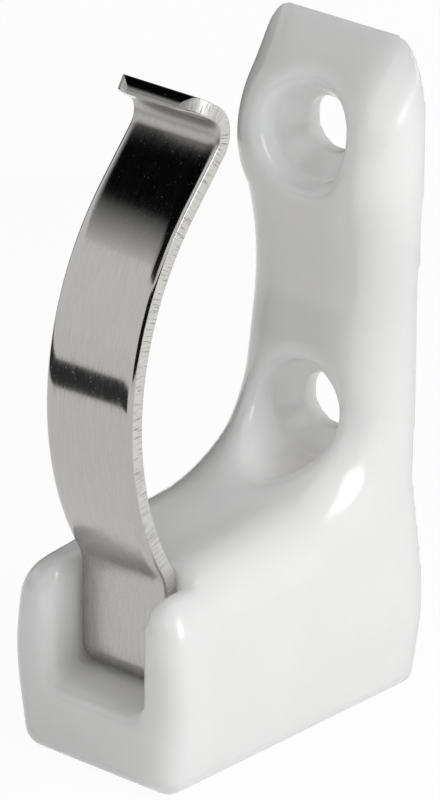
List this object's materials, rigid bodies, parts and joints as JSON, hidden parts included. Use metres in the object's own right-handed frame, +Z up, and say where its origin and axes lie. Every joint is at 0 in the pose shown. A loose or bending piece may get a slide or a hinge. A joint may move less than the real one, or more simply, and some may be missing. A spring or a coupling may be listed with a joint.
{
  "type": "boat hook holder",
  "caption": "Screw-on holder for a boat hook or similar pole: a white moulded bracket with a rounded cradle, and a bowed steel spring strip that snaps round the pole.",
  "frame": {"origin": "on the wall face, midway between the two screw holes", "axes": "+Z up along the screw holes, +Y into the wall, the pole lies along X"},
  "size_m": [0.0232, 0.0379, 0.0711],
  "materials": {
    "bracket": "moulded nylon, smooth and glossy, slightly milky",
    "spring_strip": "rolled stainless strip, bright faces and blanked edges"
  },
  "bodies": {
    "bracket": {"bracket": "bracket"},
    "strip": {"spring_strip": "spring_strip"}
  },
  "joints": [
    {"name": "spring_flex", "type": "hinge", "parent": "bracket", "child": "strip", "pos_m": [0, -0.0305, -0.03325], "axis": [1, 0, 0], "range_deg": [0, 9], "stiffness_Nm_per_rad": 20}
  ]
}
